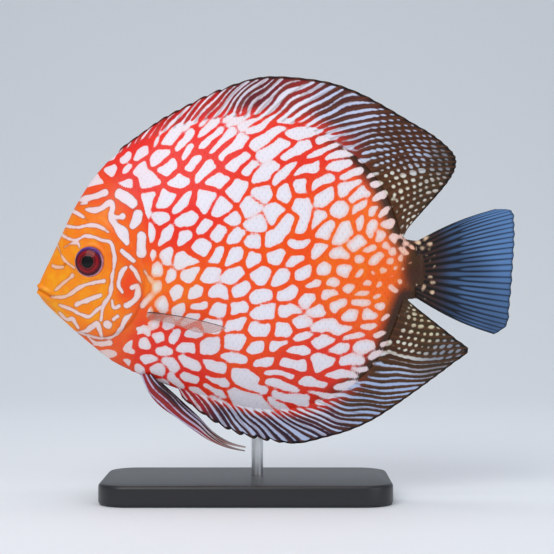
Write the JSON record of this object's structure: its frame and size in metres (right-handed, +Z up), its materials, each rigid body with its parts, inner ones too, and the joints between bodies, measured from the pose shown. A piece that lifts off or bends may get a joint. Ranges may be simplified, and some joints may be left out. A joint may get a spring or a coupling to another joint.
{
  "type": "discus fish model",
  "caption": "Life-size discus fish with spread dorsal, anal, tail, pectoral and pelvic fins, swimming level on a flat base with one rod.",
  "frame": {"origin": "on the floor, under the middle of the whole model's box", "axes": "+Z up; the fish faces -X, and its left side faces -Y"},
  "size_m": [0.1603, 0.05, 0.1412],
  "materials": {
    "head_skin": "moist satin skin, orange with pale streaks",
    "body_skin": "moist satin skin, red and orange net over pale cells",
    "median_fin": "satin membrane, brown and pale blue streaks with a black margin",
    "tail_fin": "satin membrane, steel blue with black rays",
    "clear_fin": "clear membrane with faint rays",
    "pelvic_fin": "satin membrane, dark red, black and pale streaks",
    "eye": "polished, dark red iris round a black pupil",
    "stand_base": "satin black",
    "stand_rod": "brushed"
  },
  "bodies": {
    "root": {"head": "head_skin", "gill_cover_left": "head_skin", "gill_cover_right": "head_skin", "torso": "body_skin", "tail_base": "body_skin", "dorsal_fin": "median_fin", "anal_fin": "median_fin", "caudal_fin": "tail_fin", "pectoral_fin_left": "clear_fin", "pectoral_fin_right": "clear_fin", "pelvic_fin_left": "pelvic_fin", "pelvic_fin_right": "pelvic_fin", "eye_left": "eye", "eye_right": "eye", "stand_base": "stand_base", "stand_rod": "stand_rod"}
  },
  "joints": []
}
